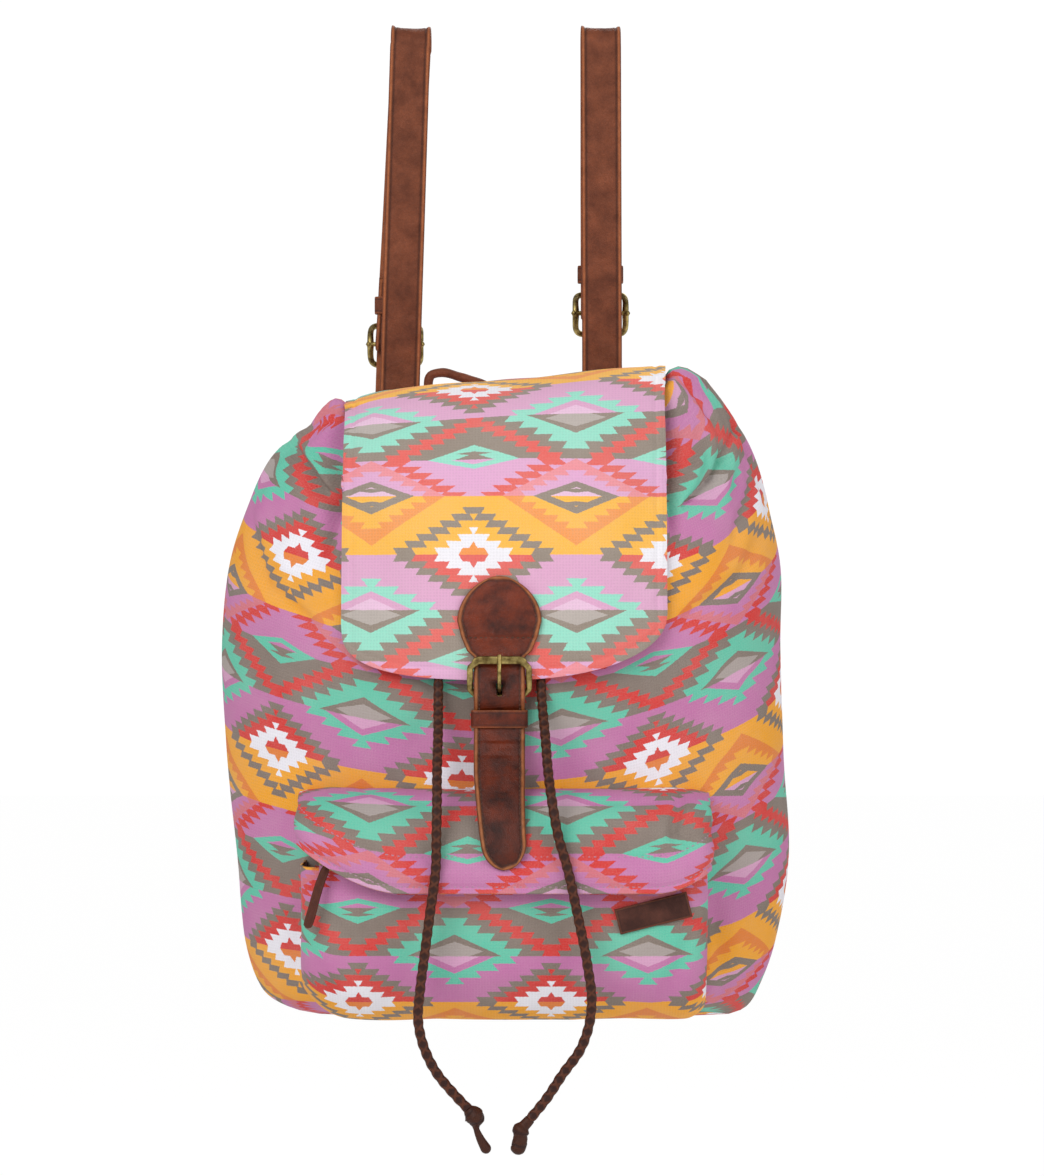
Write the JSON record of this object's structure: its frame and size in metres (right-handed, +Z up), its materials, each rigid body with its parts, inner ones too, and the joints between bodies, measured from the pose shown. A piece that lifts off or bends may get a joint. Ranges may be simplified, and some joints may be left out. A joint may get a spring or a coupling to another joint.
{
  "type": "backpack",
  "caption": "Drawstring canvas backpack with a buckled flap, a hooded zip pocket, adjustable leather shoulder straps and a rolled haul loop.",
  "frame": {"origin": "inside of the two shoulder-strap bends, midway between the straps, where a hook or rod holds the bag", "axes": "+Z up, -Y out of the bag's front, +X to the right as the front is seen"},
  "size_m": [0.3493, 0.2418, 0.684],
  "materials": {
    "printed_canvas": "printed cotton canvas, matt",
    "strap_leather": "oiled leather, satin",
    "cord_leather": "braided leather, satin",
    "antique_brass": "aged brass plate",
    "zip_tape": "woven tape"
  },
  "bodies": {
    "bag": {"body_front": "printed_canvas", "body_back": "printed_canvas", "body_base": "printed_canvas", "mouth_casing": "printed_canvas", "eyelet_left": "antique_brass", "eyelet_right": "antique_brass", "drawcord_inner": "cord_leather", "drawcord_left": "cord_leather", "drawcord_right": "cord_leather", "knot_left": "cord_leather", "knot_right": "cord_leather", "flap": "printed_canvas", "pocket_pouch": "printed_canvas", "pocket_top": "printed_canvas", "pocket_hood": "printed_canvas", "leather_patch": "strap_leather", "zip_tape_upper": "zip_tape", "zip_tape_lower": "zip_tape", "zip_coil": "zip_tape", "closure_strap": "strap_leather", "closure_chape": "strap_leather", "closure_keeper": "strap_leather", "haul_loop": "strap_leather", "strap_left": "strap_leather", "strap_right": "strap_leather", "strap_tail_left": "strap_leather", "strap_tail_right": "strap_leather", "strap_keeper_left": "strap_leather", "strap_keeper_right": "strap_leather"},
    "closure_frame": {"closure_frame": "antique_brass"},
    "closure_prong": {"closure_prong": "antique_brass"},
    "strap_frame_left": {"strap_frame_left": "antique_brass"},
    "strap_prong_left": {"strap_prong_left": "antique_brass"},
    "strap_frame_right": {"strap_frame_right": "antique_brass"},
    "strap_prong_right": {"strap_prong_right": "antique_brass"},
    "zip_slider": {"zip_slider": "antique_brass"},
    "zip_pull": {"zip_pull": "antique_brass", "zip_thong": "cord_leather"}
  },
  "joints": [
    {"name": "closure_frame_hinge", "type": "hinge", "parent": "bag", "child": "closure_frame", "pos_m": [-0.0027, -0.16474, -0.4182], "axis": [1, 0, 0], "range_deg": [0, 6]},
    {"name": "closure_prong_hinge", "type": "hinge", "parent": "closure_frame", "child": "closure_prong", "pos_m": [-0.0027, -0.16474, -0.4182], "axis": [1, 0, 0], "range_deg": [0, 6]},
    {"name": "strap_frame_left_hinge", "type": "hinge", "parent": "bag", "child": "strap_frame_left", "pos_m": [-0.0708, 0.017, -0.1975], "axis": [1, 0, 0], "range_deg": [-3, 3]},
    {"name": "strap_prong_left_hinge", "type": "hinge", "parent": "strap_frame_left", "child": "strap_prong_left", "pos_m": [-0.0708, 0.017, -0.1975], "axis": [1, 0, 0], "range_deg": [0, 6]},
    {"name": "strap_frame_right_hinge", "type": "hinge", "parent": "bag", "child": "strap_frame_right", "pos_m": [0.061, 0.017, -0.1776], "axis": [1, 0, 0], "range_deg": [-3, 3]},
    {"name": "strap_prong_right_hinge", "type": "hinge", "parent": "strap_frame_right", "child": "strap_prong_right", "pos_m": [0.061, 0.017, -0.1776], "axis": [1, 0, 0], "range_deg": [0, 6]},
    {"name": "zip_slide", "type": "slide", "parent": "bag", "child": "zip_slider", "axis": [1, 0, 0], "range_m": [0, 0.203]},
    {"name": "zip_pull_hinge", "type": "hinge", "parent": "zip_slider", "child": "zip_pull", "pos_m": [-0.1015, -0.1937, -0.5095], "axis": [0, 1, 0], "range_deg": [-30, 10]}
  ]
}
